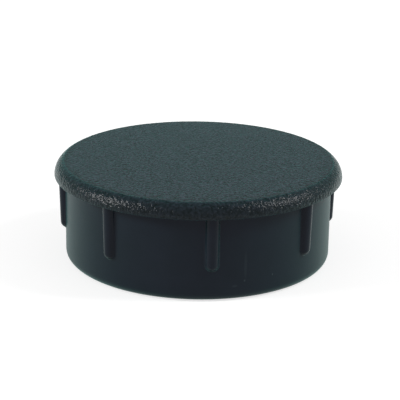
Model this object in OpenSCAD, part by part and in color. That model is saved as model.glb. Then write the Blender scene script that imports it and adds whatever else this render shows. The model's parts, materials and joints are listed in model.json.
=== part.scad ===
// Round tube insert end cap: a one-piece moulded plug for the open end of a round tube.
// The head covers the tube's end, the skirt goes into the bore, and crush ribs under the head grip it.
// The origin is the centre of the seat plane, where the tube's end meets the head. +Z leaves the tube.

/* [Tube] */
// Outside diameter of the tube, which the head is flush with
tube_od = 50; // [40:0.5:80]
// Wall thickness of the tube
tube_wall = 1.2; // [1:0.1:4]

/* [Head] */
// Height of the straight band round the head's edge
head_band_h = 0.1; // [0.05:0.05:1.5]
// Radius of the rounded rim above the band
rim_r = 2.7; // [1:0.1:4]
// Rise of the domed top above the rim
crown_h = 0.9; // [0.3:0.1:3]
// Thickness of the head over the hollow
panel_t = 2.2; // [1.2:0.1:4]

/* [Skirt] */
// Radial gap between the tube's bore and the plain lower end of the skirt
skirt_gap = 0.7; // [0.2:0.05:1]
// Length of the skirt under the seat
skirt_h = 14.9; // [12:0.1:40]
// Wall thickness of the skirt at its mouth
skirt_wall = 2.2; // [1.9:0.1:4]
// Draft angle of the skirt's outside, along the ribs
skirt_draft = 0.25; // [0.1:0.05:2]
// Radius of the rounded lower edge that leads into the tube
lead_r = 1.5; // [0.3:0.1:1.8]

/* [Hollow] */
// Draft angle of the hollow's wall
core_draft = 1; // [0.5:0.25:3]
// Radius of the corner between the hollow's wall and its roof
corner_r = 1.5; // [0.5:0.25:4]
// Chamfer on the inner edge of the mouth
mouth_chamfer = 0.3; // [0.1:0.1:0.6]

/* [Crush ribs] */
// Number of ribs round the skirt
rib_count = 8; // [4:1:12]
// Diameter of the round bar shape that each rib is a part of
rib_d = 2.3; // [2:0.1:4]
// Length of a rib from the seat to its rounded lower end
rib_l = 9.5; // [5:0.1:12]
// Rise of a rib above the skirt at the seat
rib_rise_top = 1.15; // [0.95:0.05:1.3]
// Rise of a rib above the skirt at its lower end
rib_rise_end = 0.9; // [0.4:0.05:0.95]

/* [Hidden] */
$fn = 128;
// The crown's circle is large, so it needs more facets
crown_fn = 2048;
// Overrun of the cutting shapes past the faces that they cut
over = 1;

// The head is as wide as the tube
head_r = tube_od / 2;

// The rim's arc ends at the crest, where the crown starts with a clear break in the slope
crest_break = 17;
rim_x = head_r - rim_r;
crown_slope = 2 * atan(crown_h / rim_x);
crest_a = crown_slope + crest_break;
crest_x = rim_x + rim_r * sin(crest_a);
crest_z = head_band_h + rim_r * cos(crest_a);

// The crown is a cap of a large ball through the crest
apex_z = crest_z + crown_h;
crown_r = (crest_x * crest_x + crown_h * crown_h) / (2 * crown_h);
crown_z = apex_z - crown_r;
// The block under the crown ends inside the crest, where the rim's arc lies above the crown
crown_block_x = rim_x + rim_r * sin(crown_slope + crest_break / 2);

// The skirt is drafted along the ribs and straight below them
skirt_r = head_r - tube_wall - skirt_gap;
rib_run_out = 0.3;
land_z = -(rib_l + rib_run_out);
skirt_top_r = skirt_r - land_z * tan(skirt_draft);
lead_x = skirt_r - lead_r;
lead_z = lead_r - skirt_h;

// The hollow follows the skirt's wall and the underside of the crown
mouth_r = skirt_r - skirt_wall;
roof_r = crown_r - panel_t;
// The corner's arc overruns the wall and the roof a little, so that it crosses both
corner_over = 0.03 * corner_r;
corner_z = roof_z(mouth_r - corner_r) - corner_r + corner_over;
corner_x = wall_x(corner_z) - corner_r + corner_over;

// A rib is part of a round bar with a ball end, tilted so that its rise fades downwards
rib_r = rib_d / 2;
rib_root = 0.8;
rib_end_half_w = sqrt(rib_r * rib_r - pow(rib_r - rib_rise_end, 2));
ball_z = rib_end_half_w - rib_l;
ball_x = skirt_x(ball_z) + rib_rise_end - rib_r;
root_x = skirt_top_r + rib_rise_top - rib_r;
rib_tilt = atan((root_x - ball_x) / -ball_z);
rib_bar_l = (rib_root - ball_z) / cos(rib_tilt);

// Radius of the skirt's outside at height z
function skirt_x(z) = skirt_r + max(0, z - land_z) * tan(skirt_draft);

// Radius of the hollow's wall at height z
function wall_x(z) = mouth_r - (z + skirt_h) * tan(core_draft);

// Height of the hollow's roof at radius x
function roof_z(x) = crown_z + sqrt(roof_r * roof_r - x * x);

// Half section of the head: a band, a rounded rim and the crown
module head_section() {
    intersection() {
        translate([0, crown_z]) circle(r = crown_r, $fn = crown_fn);
        union() {
            square([head_r, head_band_h]);
            square([crown_block_x, apex_z + over]);
            translate([rim_x, head_band_h]) circle(r = rim_r);
        }
        square([head_r + over, apex_z + over]);
    }
}

// Half section of the skirt, solid to the axis: a drafted wall, a straight land and a rounded lower edge
module skirt_section() {
    polygon([
        [0, 0],
        [skirt_top_r, 0],
        [skirt_r, land_z],
        [skirt_r, lead_z],
        [lead_x, lead_z],
        [lead_x, -skirt_h],
        [0, -skirt_h]
    ]);
    translate([lead_x, lead_z]) circle(r = lead_r);
}

// Half section of the hollow: a chamfered mouth, a drafted wall, a rounded corner and a roof
module hollow_section() {
    flare_r = mouth_r + mouth_chamfer + over;
    flare_z = -skirt_h - over;
    chamfer_z = mouth_chamfer - skirt_h;
    wall_top_z = apex_z + over;
    intersection() {
        polygon([
            [0, flare_z],
            [flare_r, flare_z],
            [wall_x(chamfer_z), chamfer_z],
            [wall_x(wall_top_z), wall_top_z],
            [0, wall_top_z]
        ]);
        translate([0, crown_z]) circle(r = roof_r, $fn = crown_fn);
        union() {
            translate([0, flare_z - over]) {
                square([flare_r + over, corner_z - flare_z + over]);
                square([corner_x, wall_top_z - flare_z + 2 * over]);
            }
            translate([corner_x, corner_z]) circle(r = corner_r);
        }
    }
}

// One rib's bar with its ball end at the origin, standing along +Z
module rib_bar() {
    rotate_extrude() {
        square([rib_r, rib_bar_l]);
        intersection() {
            circle(r = rib_r);
            translate([0, -rib_r - over]) square([rib_r + over, rib_r + over]);
        }
    }
}

// All ribs, at equal angles from the +X axis
module ribs() {
    for (i = [0 : rib_count - 1])
        rotate([0, 0, i * 360 / rib_count])
            translate([ball_x, 0, ball_z])
                rotate([0, rib_tilt, 0])
                    rib_bar();
}

// The whole cap: the revolved head and skirt with their ribs, less the hollow
module end_cap() {
    color([0.14, 0.17, 0.18])
        difference() {
            union() {
                rotate_extrude() {
                    head_section();
                    skirt_section();
                }
                ribs();
            }
            rotate_extrude() hollow_section();
        }
}

end_cap();
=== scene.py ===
import json
import math

import bpy
import numpy as np
from mathutils import Matrix, Vector, noise


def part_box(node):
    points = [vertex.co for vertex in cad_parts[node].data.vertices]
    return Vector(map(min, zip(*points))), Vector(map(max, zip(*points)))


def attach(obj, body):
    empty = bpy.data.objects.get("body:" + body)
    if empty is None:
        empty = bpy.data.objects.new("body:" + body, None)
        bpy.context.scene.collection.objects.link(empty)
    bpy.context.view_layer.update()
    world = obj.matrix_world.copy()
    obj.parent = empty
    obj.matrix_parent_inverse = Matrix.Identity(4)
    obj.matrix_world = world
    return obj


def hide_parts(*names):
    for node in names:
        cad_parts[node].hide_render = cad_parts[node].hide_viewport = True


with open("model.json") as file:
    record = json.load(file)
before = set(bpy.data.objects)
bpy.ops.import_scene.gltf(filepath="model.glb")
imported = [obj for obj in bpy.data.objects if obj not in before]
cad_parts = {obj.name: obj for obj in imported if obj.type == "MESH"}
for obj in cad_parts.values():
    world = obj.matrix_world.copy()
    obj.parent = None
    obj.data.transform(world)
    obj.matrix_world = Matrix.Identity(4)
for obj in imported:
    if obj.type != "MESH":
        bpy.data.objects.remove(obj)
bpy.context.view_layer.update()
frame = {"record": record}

MM = 0.001
FULL_TURN = 2 * math.pi

# Sizes that the frame gives, in millimetres
MOUNTS = {mount["name"]: mount for mount in frame["record"]["mounts"]}
node_low, node_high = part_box("end_cap")
HEAD_R = node_high.x / MM
APEX_Z = node_high.z / MM
SKIRT_H = -node_low.z / MM
LAND_R = MOUNTS["skirt_land"]["dims"]["r_mm"]

# Sizes of the moulding that the frame doesn't give, in millimetres and degrees
BAND_H = 0.1
RIM_R = 2.7
CROWN_H = 0.9
CREST_BREAK = 17.0
PANEL_T = 2.2
LEAD_R = 1.5
SKIRT_DRAFT = 0.25
SKIRT_WALL = 2.2
CORE_DRAFT = 1.0
CORNER_R = 1.5
MOUTH_CHAMFER = 0.3
RIB_COUNT = 8
RIB_R = 1.15
RIB_L = 9.5
RIB_RUN_OUT = 0.3
RIB_RISE_TOP = 1.15
RIB_RISE_END = 0.9

# Soft edges left by the mould, in millimetres
SEAT_EDGE_R = 0.08
SEAT_FILLET_R = 0.2
RIB_FILLET_R = 0.2

# The crown rolls off a little towards the crest: width and drop in millimetres
ROLL_OFF_W = 2.0
ROLL_OFF_DROP = 0.06

# Grain of the head in millimetres: spacing of the mesh points that carry it, size of a grain and its depth
GRAIN_STEP = 0.2
GRAIN_SIZE = 0.42
GRAIN_DEPTH = 0.02
# Its finer lumps: how many times finer, their share of the height and their start in the noise
FINE_GRAIN_RATIO = 1.9
FINE_GRAIN_SHARE = 0.6
FINE_GRAIN_START = Vector((7.3, 2.1, 4.7))

# Fineness of the mesh: spacing of points in millimetres, and numbers of points or rows
RING_MIN_POINTS = 6
# Share of a step that each grained ring is turned on from the last, so that their points don't line up
RING_TURN = 0.37
RIB_POINTS = 27
BESIDE_RIB_POINTS = 13
# How strongly the points beside a rib spread out with their distance from it
BESIDE_RIB_SPREAD = 2.5
SOFT_EDGE_ROWS = 5
BAR_ROWS = 9
BALL_ROWS = 13
LEVELLING_ROWS = 6
LAND_ROWS = 5
LEAD_ROWS = 9
WALL_ROWS = 8
CORNER_ROWS = 8
ROOF_ROWS = 12
HOLLOW_STEP = 0.6
ROOF_STEP = 0.9
ROOF_MIN_R = 2.0

# The crown is a cap of a large ball, and the rim's arc meets it at the crest with a clear break
RIM_X = HEAD_R - RIM_R
CREST_ANGLE = 2 * math.atan(CROWN_H / RIM_X) + math.radians(CREST_BREAK)
CREST_X = RIM_X + RIM_R * math.sin(CREST_ANGLE)
CROWN_R = (CREST_X**2 + CROWN_H**2) / (2 * CROWN_H)
CROWN_Z = APEX_Z - CROWN_R

# The skirt is drafted along the ribs and straight below them
LAND_Z = -(RIB_L + RIB_RUN_OUT)
SKIRT_SLOPE = math.tan(math.radians(SKIRT_DRAFT))
SKIRT_TOP_R = LAND_R - LAND_Z * SKIRT_SLOPE

# A rib is part of a round bar with a ball end, tilted so that its rise fades downwards
RIB_PITCH = FULL_TURN / RIB_COUNT
RIB_HALF_W = math.sqrt(RIB_R**2 - (RIB_R - RIB_RISE_END) ** 2)
BALL_Z = RIB_HALF_W - RIB_L
BALL_X = LAND_R + (BALL_Z - LAND_Z) * SKIRT_SLOPE + RIB_RISE_END - RIB_R
ROOT_X = SKIRT_TOP_R + RIB_RISE_TOP - RIB_R
RIB_TILT = math.atan((ROOT_X - BALL_X) / -BALL_Z)

# Finishes of the moulding, in the order of the mesh's materials
CROWN, RIM, SATIN, RIB = range(4)
# Rise above the skirt at which a rib's own finish starts, in millimetres
RIB_ROOT_RISE = 0.05


class Shell:
    """A closed surface made of rings round the Z axis, each zipped to the one before it."""

    def __init__(self):
        self.points = []
        self.faces = []
        self.finishes = []
        self.last = None

    def add_point(self, height):
        """A single point on the axis, which starts or ends the surface."""
        index = len(self.points)
        self.points.append((0.0, 0.0, height))
        self._zip(([index], [0.0]))

    def add_ring(self, angles, radius, height, finish=SATIN, normal=None):
        """A ring of points and the finish up to it; a normal (outwards, upwards) gives it the grain."""
        radius = np.broadcast_to(radius, angles.shape)
        height = np.broadcast_to(height, angles.shape)
        places = np.stack([radius * np.cos(angles), radius * np.sin(angles), height], axis=1)
        if normal is not None:
            out, up = normal
            lifts = np.array([grain_height(place) for place in places])
            places[:, 0] += lifts * out * np.cos(angles)
            places[:, 1] += lifts * out * np.sin(angles)
            places[:, 2] += lifts * up
        start = len(self.points)
        self.points.extend(map(tuple, places))
        self._zip((list(range(start, start + len(angles))), list(angles)), finish)

    def _zip(self, ring, finish=SATIN):
        """Joins a ring to the last one with triangles, always stepping to the nearer next angle."""
        if self.last is not None:
            before, before_angles = self.last
            after, after_angles = ring
            i = j = 0
            while i < len(before) or j < len(after):
                next_before = self._angle(before_angles, i + 1) if len(before) > 1 else math.inf
                next_after = self._angle(after_angles, j + 1) if len(after) > 1 else math.inf
                here = (before[i % len(before)], after[j % len(after)])
                if j < len(after) and (next_after <= next_before or i >= len(before)):
                    j += 1
                    face = here + (after[j % len(after)],)
                    skip = len(after) == 1
                else:
                    i += 1
                    face = here + (before[i % len(before)],)
                    skip = len(before) == 1
                if not skip:
                    self.faces.append(face)
                    self.finishes.append(finish)
        self.last = ring

    @staticmethod
    def _angle(angles, index):
        """Angle of a ring's point, counted on past the full turn."""
        turns, place = divmod(index, len(angles))
        return angles[place] + turns * FULL_TURN


def grain_height(place):
    """Height of the head's grain at a place, in millimetres: soft lumps of two sizes."""
    spot = Vector(place) / GRAIN_SIZE
    lumps = noise.noise(spot)
    fine_lumps = noise.noise(spot * FINE_GRAIN_RATIO + FINE_GRAIN_START)
    return GRAIN_DEPTH * (lumps + FINE_GRAIN_SHARE * fine_lumps)


def quarter_turn(rows):
    """Evenly spaced angles from 0 to a right angle."""
    return np.linspace(0, math.pi / 2, rows)


def even_angles(radius, step, phase=0.0):
    """Angles of a ring whose points lie about one step apart, turned on by a share of a step."""
    count = max(RING_MIN_POINTS, round(FULL_TURN * radius / step))
    return (np.arange(count) + phase % 1.0) * FULL_TURN / count


def rib_angles():
    """Angles round the skirt: even steps over each rib's round, then wider and wider apart."""
    on_rib = RIB_R * np.sin(np.linspace(-math.pi / 2, math.pi / 2, RIB_POINTS))
    half_pitch = LAND_R * RIB_PITCH / 2
    shares = np.linspace(0, 1, BESIDE_RIB_POINTS)[1:] ** BESIDE_RIB_SPREAD
    beside = RIB_R + (half_pitch - RIB_R) * shares
    offsets = np.concatenate([on_rib, beside, -beside[:-1]])
    one_pitch = offsets / LAND_R
    angles = np.concatenate([one_pitch + k * RIB_PITCH for k in range(RIB_COUNT)])
    return np.sort(angles % FULL_TURN)


def from_rib(angles):
    """Angles from the middle of the nearest rib."""
    return (angles + RIB_PITCH / 2) % RIB_PITCH - RIB_PITCH / 2


def bar_reach(angles, z):
    """How far out a rib's bar reaches at these angles and heights; less than zero where it doesn't."""
    off = from_rib(angles)
    ray = np.stack([np.cos(off), np.sin(off), np.zeros_like(off)], axis=1)
    axis = np.array([math.sin(RIB_TILT), 0.0, math.cos(RIB_TILT)])
    base = np.stack([np.full_like(z, -BALL_X), np.zeros_like(z), z - BALL_Z], axis=1)
    along = ray @ axis
    base_along = base @ axis
    base_out = np.sum(ray * base, axis=1)
    base_square = np.sum(base * base, axis=1)
    # Where the ray meets the round bar
    a = 1 - along**2
    b = base_out - along * base_along
    c = base_square - base_along**2 - RIB_R**2
    root = b * b - a * c
    on_bar = np.where(root > 0, (-b + np.sqrt(np.maximum(root, 0))) / a, -1.0)
    # Where the ray meets the ball end
    root = base_out**2 - base_square + RIB_R**2
    on_ball = np.where(root > 0, -base_out + np.sqrt(np.maximum(root, 0)), -1.0)
    above_ball = on_bar * along + base_along > 0
    return np.where(above_ball, on_bar, on_ball)


def fillet_rise(away, fillet_r):
    """Rise of a round inner corner at a distance from the wall that it leads up to."""
    left = fillet_r - np.clip(away, 0, fillet_r)
    return fillet_r - np.sqrt(fillet_r**2 - left**2)


def skirt_reach(angles, z):
    """Radius of the skirt's outside with its ribs, and a round inner corner along each rib and the seat."""
    z = np.broadcast_to(z, angles.shape)
    plain = LAND_R + np.maximum(z - LAND_Z, 0) * SKIRT_SLOPE
    from_bar = np.hypot(LAND_R * from_rib(angles), np.minimum(z - BALL_Z, 0)) - RIB_HALF_W
    reach = np.maximum(plain + fillet_rise(from_bar, RIB_FILLET_R), bar_reach(angles, z))
    return reach + fillet_rise(-z, SEAT_FILLET_R)


def add_head(shell):
    """The crown from its middle outwards, the rounded rim, and the lower edge at the seat."""
    shell.add_point(APEX_Z)
    rings = round(CREST_X / GRAIN_STEP)
    for k in range(1, rings + 1):
        radius = CREST_X * k / rings
        rise = math.sqrt(CROWN_R**2 - radius**2)
        normal = (radius / CROWN_R, rise / CROWN_R)
        roll_off = max(0.0, 1 - (CREST_X - radius) / ROLL_OFF_W)
        height = CROWN_Z + rise - ROLL_OFF_DROP * roll_off**2
        shell.add_ring(even_angles(radius, GRAIN_STEP, RING_TURN * k), radius, height, CROWN, normal)
    arc_rings = round(RIM_R * (math.pi / 2 - CREST_ANGLE) / GRAIN_STEP)
    for k in range(1, arc_rings + 1):
        angle = CREST_ANGLE + (math.pi / 2 - CREST_ANGLE) * k / arc_rings
        normal = (math.sin(angle), math.cos(angle))
        radius = RIM_X + RIM_R * normal[0]
        height = BAND_H + RIM_R * normal[1]
        shell.add_ring(even_angles(HEAD_R, GRAIN_STEP, RING_TURN * k), radius, height, RIM, normal)
    head_angles = even_angles(HEAD_R, 2 * GRAIN_STEP)
    for angle in quarter_turn(SOFT_EDGE_ROWS):
        radius = HEAD_R - SEAT_EDGE_R + SEAT_EDGE_R * math.cos(angle)
        shell.add_ring(head_angles, radius, SEAT_EDGE_R - SEAT_EDGE_R * math.sin(angle))
    shell.add_ring(head_angles, HEAD_R - 2 * SEAT_EDGE_R, 0.0)


def add_skirt(shell):
    """The seat's inner edge, the ribbed wall, the plain land and the rounded lower edge."""
    angles = rib_angles()
    seat_corner = -SEAT_FILLET_R * (1 - np.cos(quarter_turn(SOFT_EDGE_ROWS)))
    bars = np.linspace(-SEAT_FILLET_R, BALL_Z, BAR_ROWS)[1:]
    rows = list(np.concatenate([seat_corner, bars]))
    # Round the ribs' lower ends the rows follow the balls, and below them they level out again
    ball_drop = np.sqrt(np.maximum(RIB_R**2 - (LAND_R * from_rib(angles)) ** 2, RIB_FILLET_R**2))
    rows += [BALL_Z - ball_drop * math.sin(angle) for angle in quarter_turn(BALL_ROWS)[1:]]
    ball_end = rows[-1]
    rows += [ball_end + (LAND_Z - ball_end) * share for share in np.linspace(0, 1, LEVELLING_ROWS)[1:]]
    rows += list(np.linspace(LAND_Z, LEAD_R - SKIRT_H, LAND_ROWS)[1:])
    for z in rows:
        shell.add_ring(angles, skirt_reach(angles, z), z)
    for angle in quarter_turn(LEAD_ROWS)[1:]:
        radius = LAND_R - LEAD_R + LEAD_R * math.cos(angle)
        shell.add_ring(angles, radius, LEAD_R - SKIRT_H - LEAD_R * math.sin(angle))


def add_hollow(shell):
    """The mouth's chamfer, the drafted wall, the rounded corner and the roof."""
    angles = even_angles(LAND_R, HOLLOW_STEP)
    mouth_r = LAND_R - SKIRT_WALL
    slope = math.tan(math.radians(CORE_DRAFT))
    roof_r = CROWN_R - PANEL_T
    corner_z = CROWN_Z + math.sqrt(roof_r**2 - (mouth_r - CORNER_R) ** 2) - CORNER_R
    corner_x = mouth_r - (corner_z + SKIRT_H) * slope - CORNER_R
    shell.add_ring(angles, mouth_r + MOUTH_CHAMFER, -SKIRT_H)
    for z in np.linspace(MOUTH_CHAMFER - SKIRT_H, corner_z, WALL_ROWS):
        shell.add_ring(angles, mouth_r - (z + SKIRT_H) * slope, z)
    for angle in quarter_turn(CORNER_ROWS)[1:-1]:
        radius = corner_x + CORNER_R * math.cos(angle)
        shell.add_ring(angles, radius, corner_z + CORNER_R * math.sin(angle))
    for radius in np.linspace(corner_x, 0, ROOF_ROWS)[:-1]:
        roof_angles = even_angles(max(radius, ROOF_MIN_R), ROOF_STEP)
        shell.add_ring(roof_angles, radius, CROWN_Z + math.sqrt(roof_r**2 - radius**2))
    shell.add_point(CROWN_Z + roof_r)


def with_ribs(shell):
    """The finish of each face, with that of the ribs where they stand out of the skirt."""
    middles = np.array(shell.points)[np.array(shell.faces)].mean(axis=1)
    stands_out = np.hypot(middles[:, 0], middles[:, 1]) > SKIRT_TOP_R + RIB_ROOT_RISE
    under_seat = middles[:, 2] < -SEAT_FILLET_R
    return np.where(stands_out & under_seat, RIB, shell.finishes)


def make_cap(materials):
    """The whole moulding as one closed mesh."""
    shell = Shell()
    add_head(shell)
    add_skirt(shell)
    add_hollow(shell)
    mesh = bpy.data.meshes.new("cap_moulding")
    mesh.from_pydata([Vector(point) * MM for point in shell.points], [], shell.faces)
    for finish in (CROWN, RIM, SATIN, RIB):
        mesh.materials.append(materials[finish])
    mesh.polygons.foreach_set("material_index", with_ribs(shell))
    mesh.shade_smooth()
    mesh.update()
    cap = bpy.data.objects.new("cap_moulding", mesh)
    bpy.context.scene.collection.objects.link(cap)
    return cap


def direction(azimuth, elevation):
    """Unit vector from the object towards a place; azimuth 0 is in front, 90 on the right."""
    a = math.radians(azimuth)
    e = math.radians(elevation)
    return Vector((math.sin(a) * math.cos(e), -math.cos(a) * math.cos(e), math.sin(e)))


class Nodes:
    """Short calls for building one node tree, of a material or of the world."""

    def __init__(self, tree):
        self.tree = tree
        self.tree.nodes.clear()

    def add(self, kind, inputs=None, **settings):
        """A new node; an input that is another node's output is linked, any other is set."""
        node = self.tree.nodes.new(kind)
        for name, value in settings.items():
            setattr(node, name, value)
        for name, value in (inputs or {}).items():
            if isinstance(value, bpy.types.NodeSocket):
                self.tree.links.new(value, node.inputs[name])
            else:
                node.inputs[name].default_value = value
        return node


def new_material(name):
    """An empty material and its nodes."""
    material = bpy.data.materials.new(name)
    material.use_nodes = True
    return material, Nodes(material.node_tree)


# Noises in the plastic: scale per millimetre and detail
HEAD_CLOUDS = (0.35, 3.0)
SKIRT_TONES = (0.2, 4.0)
SKIRT_CLOUDS = (0.6, 5.0)
GRIT_DETAIL = 1.0
# Values of a noise between which a colour goes from dark to light
TONE_RANGE = (0.3, 0.7)
SKIRT_CONTRAST = 0.1
HEAD_ROUGHNESS_SPREAD = 0.03
SKIRT_ROUGHNESS_SPREAD = 0.02
# Unevenness of the skirt: strength, and depth in millimetres
SKIRT_BUMP = 0.1
SKIRT_BUMP_DEPTH = 0.02
# The plastic has a faint haze at a glancing angle, made as a sheen
HAZE_ROUGHNESS = 0.5

# Painted shade: the head's colour darkens towards its edge, down to this share at the rim's lower edge,
# over this distance in millimetres; it stands in for the shade on the crown's outer band and the rim's
# lower part
PAINTED_EDGE_SHADE = 0.36
PAINTED_SHADE_WIDTH = 3.3

# Marks of handling on the skirt: azimuth in degrees; height, half width and half length in mm; strength
WEAR_MARKS = {
    "scratch": (14.1, -8.9, 0.35, 3.0, 0.1),
    "scratch_end": (13.8, -11.5, 0.2, 0.25, 0.3),
    "speck": (26.7, -11.2, 0.13, 0.25, 0.45),
    "scuff": (9.6, -12.3, 0.6, 0.25, 0.15),
}
WEAR_COLOUR = (0.06, 0.075, 0.085, 1)
# Share of a mark's size within which it has its full strength
WEAR_CORE = 0.4
# Half depth of a mark in millimetres, which keeps it to its own side of the skirt
WEAR_HALF_DEPTH = LAND_R / 2


def millimetre_places(nodes):
    """Places on the object, in millimetres."""
    places = nodes.add("ShaderNodeTexCoord").outputs["Object"]
    scale = (1 / MM, 1 / MM, 1 / MM)
    return nodes.add("ShaderNodeMapping", {"Vector": places, "Scale": scale}).outputs["Vector"]


def noise_value(nodes, places, scale, detail):
    """A noise between 0 and 1."""
    clouds = nodes.add("ShaderNodeTexNoise", {"Vector": places, "Scale": scale, "Detail": detail})
    return clouds.outputs["Fac"]


def map_range(nodes, value, before, after):
    """A value taken evenly from one range to another, and kept within it."""
    inputs = {
        "Value": value,
        "From Min": before[0],
        "From Max": before[1],
        "To Min": after[0],
        "To Max": after[1],
    }
    return nodes.add("ShaderNodeMapRange", inputs).outputs["Result"]


def uneven_roughness(nodes, clouds, roughness, spread):
    """A roughness that is a little higher in some places than in others."""
    return map_range(nodes, clouds, (0, 1), (roughness - spread, roughness + spread))


def from_axis(nodes, places):
    """Distance of a place from the cap's axis, in millimetres."""
    flat_places = nodes.add("ShaderNodeVectorMath", {0: places, 1: (1, 1, 0)}, operation="MULTIPLY")
    length = nodes.add("ShaderNodeVectorMath", {0: flat_places.outputs["Vector"]}, operation="LENGTH")
    return length.outputs["Value"]


def with_painted_edge_shade(nodes, places, colour):
    """Painted shade: the colour darkened towards the head's edge, where the crown's outer band and the
    rim's lower part fall into shade.
    """
    shade = map_range(nodes, from_axis(nodes, places), (HEAD_R - PAINTED_SHADE_WIDTH, HEAD_R), (1, PAINTED_EDGE_SHADE))
    scaled = nodes.add("ShaderNodeVectorMath", {0: colour, "Scale": shade}, operation="SCALE")
    return scaled.outputs["Vector"]


def uneven_colour(nodes, tone_and_painted_shade, colour, tone_and_painted_shade_contrast):
    """A colour lighter and darker along a noise: the skirt's own tone, and on the head painted shade in the
    grain's hollows and painted light on its lumps.
    """
    ramp = nodes.add("ShaderNodeValToRGB", {"Fac": tone_and_painted_shade})
    for step, place, shade in zip(ramp.color_ramp.elements, TONE_RANGE, (1 - tone_and_painted_shade_contrast, 1 + tone_and_painted_shade_contrast)):
        step.position = place
        step.color = tuple(shade * part for part in colour) + (1,)
    return ramp.outputs["Color"]


def worn_colour(nodes, places, colour):
    """The colour with the marks of handling laid over it."""
    for azimuth, height, half_width, half_length, strength in WEAR_MARKS.values():
        spot = direction(azimuth, 0) * LAND_R
        inside = nodes.add(
            "ShaderNodeMapping",
            {
                "Vector": places,
                "Location": (spot.x, spot.y, height),
                "Rotation": (0, 0, math.radians(azimuth)),
                "Scale": (half_width, WEAR_HALF_DEPTH, half_length),
            },
            vector_type="TEXTURE",
        )
        off = nodes.add("ShaderNodeVectorMath", {0: inside.outputs["Vector"]}, operation="LENGTH")
        cover = map_range(nodes, off.outputs["Value"], (1, WEAR_CORE), (0, strength))
        layers = {"Factor": cover, "A": colour, "B": WEAR_COLOUR}
        colour = nodes.add("ShaderNodeMix", layers, data_type="RGBA").outputs["Result"]
    return colour


def add_plastic(nodes, colour, roughness, normal, level, haze, haze_tint):
    """The plastic's shader, with its specular level and its haze."""
    plastic = nodes.add(
        "ShaderNodeBsdfPrincipled",
        {
            "Base Color": colour,
            "Roughness": roughness,
            "Normal": normal,
            "Specular IOR Level": level,
            "Sheen Weight": haze,
            "Sheen Roughness": HAZE_ROUGHNESS,
            "Sheen Tint": haze_tint,
        },
    )
    nodes.add("ShaderNodeOutputMaterial", {"Surface": plastic.outputs["BSDF"]})


def grain_material(name, colour, tone_and_painted_shade_contrast, roughness, grain_scale, grain_depth, **gloss):
    """Black polyethylene with the fine spark-eroded grain of the head, with painted shade in the grain's
    hollows, painted light on its lumps and painted shade towards the head's edge.
    """
    material, nodes = new_material(name)
    places = millimetre_places(nodes)
    clouds = noise_value(nodes, places, *HEAD_CLOUDS)
    grit = noise_value(nodes, places, grain_scale, GRIT_DETAIL)
    bump = nodes.add("ShaderNodeBump", {"Height": grit, "Strength": 1.0, "Distance": grain_depth * MM})
    add_plastic(
        nodes,
        # Painted shade and light: the grain's noise darkens its hollows and lightens its lumps, and the
        # head's edge is darkened
        with_painted_edge_shade(nodes, places, uneven_colour(nodes, grit, colour, tone_and_painted_shade_contrast)),
        uneven_roughness(nodes, clouds, roughness, HEAD_ROUGHNESS_SPREAD),
        bump.outputs["Normal"],
        **gloss,
    )
    return material


def satin_material(name, colour, roughness, **gloss):
    """The same black polyethylene with the smooth satin of the skirt, the ribs and the hollow."""
    material, nodes = new_material(name)
    places = millimetre_places(nodes)
    tones = noise_value(nodes, places, *SKIRT_TONES)
    clouds = noise_value(nodes, places, *SKIRT_CLOUDS)
    unevenness = {"Height": clouds, "Strength": SKIRT_BUMP, "Distance": SKIRT_BUMP_DEPTH * MM}
    bump = nodes.add("ShaderNodeBump", unevenness)
    add_plastic(
        nodes,
        worn_colour(nodes, places, uneven_colour(nodes, tones, colour, SKIRT_CONTRAST)),
        uneven_roughness(nodes, clouds, roughness, SKIRT_ROUGHNESS_SPREAD),
        bump.outputs["Normal"],
        **gloss,
    )
    return material


def make_finishes():
    """The materials of the moulding, by finish."""
    return {
        CROWN: grain_material(
            "grained_black_crown",
            colour=(0.0212, 0.0242, 0.034),
            # Painted shade in the grain's hollows and painted light on its lumps, by this share
            tone_and_painted_shade_contrast=0.9,
            roughness=0.63,
            grain_scale=2.4,
            grain_depth=0.5,
            level=0.4,
            haze=0.08,
            haze_tint=(0.15, 1, 0.9, 1),
        ),
        RIM: grain_material(
            "grained_black_rim",
            colour=(0.0195, 0.0236, 0.0345),
            # Painted shade in the grain's hollows and painted light on its lumps, by this share
            tone_and_painted_shade_contrast=0.65,
            roughness=0.26,
            grain_scale=2.2,
            grain_depth=0.18,
            level=0.16,
            haze=0.125,
            haze_tint=(0, 1, 0.85, 1),
        ),
        SATIN: satin_material(
            "satin_black_skirt",
            colour=(0.0092, 0.0098, 0.0182),
            roughness=0.37,
            level=0.11,
            haze=0.135,
            haze_tint=(0, 1, 0.8, 1),
        ),
        RIB: satin_material(
            "satin_black_ribs",
            colour=(0.0085, 0.0102, 0.0185),
            roughness=0.2,
            level=0.1,
            haze=0.09,
            haze_tint=(0.3, 1, 0.85, 1),
        ),
    }


# Brightness of the surround by the height of a direction: 0 is level, 1 straight up
SURROUND_SHADES = ((0.0, 0.5), (0.4, 0.63), (0.7, 0.45), (1.0, 0.45))
# Share of that brightness behind the object, and the range of a direction's Y over which it falls to that
BEHIND_SHADE = 0.55
BEHIND_RANGE = (-0.2, 0.7)
# The floor's own glow and colour, and half its width in metres
FLOOR_GLOW = 0.64
FLOOR_COLOUR = (0.5, 0.5, 0.5, 1)
FLOOR_R = 3.0
# Distance of the softboxes from the object, in metres
SOFTBOX_DISTANCE = 1.0
# Each softbox: azimuth from the camera and elevation in degrees, width and height in metres, watts
SOFTBOXES = {"left": (-80, 27, 0.42, 0.2, 6.4), "right": (86, 38, 0.24, 0.44, 5.4)}


def larger(nodes, first, second):
    """The larger of two values."""
    return nodes.add("ShaderNodeMath", {0: first, 1: second}, operation="MAXIMUM").outputs[0]


def seen_directly(nodes):
    """1 for rays that show the background: from the camera, in gloss and through glass."""
    path = nodes.add("ShaderNodeLightPath").outputs
    reflected = larger(nodes, path["Is Glossy Ray"], path["Is Transmission Ray"])
    return larger(nodes, path["Is Camera Ray"], reflected)


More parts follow.
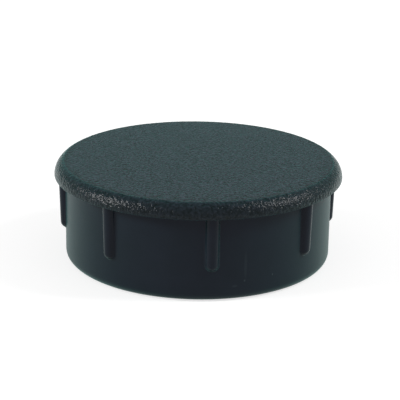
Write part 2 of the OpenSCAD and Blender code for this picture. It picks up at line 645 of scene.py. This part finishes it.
def make_world():
    """A pale surround, brightest a little above the horizon, dimmer overhead and behind the object."""
    world = bpy.data.worlds.new("studio")
    world.use_nodes = True
    nodes = Nodes(world.node_tree)
    towards = nodes.add("ShaderNodeTexCoord").outputs["Generated"]
    parts = nodes.add("ShaderNodeSeparateXYZ", {"Vector": towards}).outputs
    shades = nodes.add("ShaderNodeValToRGB", {"Fac": parts["Z"]})
    steps = shades.color_ramp.elements
    for place, _ in SURROUND_SHADES[1:-1]:
        steps.new(place)
    for step, (place, shade) in zip(steps, SURROUND_SHADES):
        step.position = place
        step.color = (shade, shade, shade, 1)
    strength = map_range(nodes, parts["Y"], BEHIND_RANGE, (1, BEHIND_SHADE))
    glow = nodes.add("ShaderNodeBackground", {"Color": shades.outputs["Color"], "Strength": strength})
    nodes.add("ShaderNodeOutputWorld", {"Surface": glow.outputs["Background"]})
    bpy.context.scene.world = world


def make_floor():
    """A pale floor that keeps the object's soft shadow and is white where nothing shades it."""
    material, nodes = new_material("pale_floor")
    matt = nodes.add("ShaderNodeBsdfDiffuse", {"Color": FLOOR_COLOUR})
    strength = nodes.add("ShaderNodeMath", {0: seen_directly(nodes), 1: FLOOR_GLOW}, operation="MULTIPLY")
    glow = nodes.add("ShaderNodeEmission", {"Strength": strength.outputs[0]})
    both = nodes.add("ShaderNodeAddShader", {0: matt.outputs["BSDF"], 1: glow.outputs["Emission"]})
    nodes.add("ShaderNodeOutputMaterial", {"Surface": both.outputs["Shader"]})
    z = -SKIRT_H * MM
    corners = [
        (-FLOOR_R, -FLOOR_R, z),
        (FLOOR_R, -FLOOR_R, z),
        (FLOOR_R, FLOOR_R, z),
        (-FLOOR_R, FLOOR_R, z),
    ]
    mesh = bpy.data.meshes.new("floor")
    mesh.from_pydata(corners, [], [(0, 1, 2, 3)])
    mesh.materials.append(material)
    floor = bpy.data.objects.new("floor", mesh)
    bpy.context.scene.collection.objects.link(floor)


def make_softbox(name, azimuth, elevation, width, height, power):
    """A broad soft light aimed at the object."""
    lamp = bpy.data.lights.new(name, "AREA")
    lamp.shape = "RECTANGLE"
    lamp.size = width
    lamp.size_y = height
    lamp.energy = power
    softbox = bpy.data.objects.new(name, lamp)
    towards = direction(azimuth, elevation)
    softbox.location = towards * SOFTBOX_DISTANCE
    softbox.rotation_mode = "QUATERNION"
    softbox.rotation_quaternion = (-towards).to_track_quat("-Z", "Y")
    bpy.context.scene.collection.objects.link(softbox)


# Camera at the photograph's viewing angle: angles in degrees, lengths in millimetres
CAMERA_AZIMUTH = -6.084
CAMERA_ELEVATION = 17.847
CAMERA_DISTANCE = 295.82
CAMERA_ROLL = 0.904
CAMERA_LENS = 152.8
SENSOR_W = 36
# Where it aims, from the seat's centre: to the right and upwards in the picture
AIM_RIGHT = 0.352
AIM_UP = -4.75


def make_camera():
    """The camera that the scene is seen through."""
    data = bpy.data.cameras.new("camera")
    data.lens = CAMERA_LENS
    data.sensor_width = SENSOR_W
    camera = bpy.data.objects.new("camera", data)
    back = direction(CAMERA_AZIMUTH, CAMERA_ELEVATION)
    right = Vector((0, 0, 1)).cross(back).normalized()
    up = back.cross(right)
    place = back * CAMERA_DISTANCE
    aim = right * AIM_RIGHT + up * AIM_UP
    look = (aim - place).to_track_quat("-Z", "Y").to_matrix().to_4x4()
    roll = Matrix.Rotation(math.radians(CAMERA_ROLL), 4, "Z")
    camera.matrix_world = Matrix.Translation(place * MM) @ look @ roll
    bpy.context.scene.collection.objects.link(camera)
    bpy.context.scene.camera = camera


make_camera()
cap = make_cap(make_finishes())
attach(cap, "root")
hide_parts("end_cap")
make_world()
make_floor()
for side, (azimuth, elevation, width, height, power) in SOFTBOXES.items():
    make_softbox(f"softbox_{side}", azimuth + CAMERA_AZIMUTH, elevation, width, height, power)
bpy.context.scene.view_settings.view_transform = "Standard"
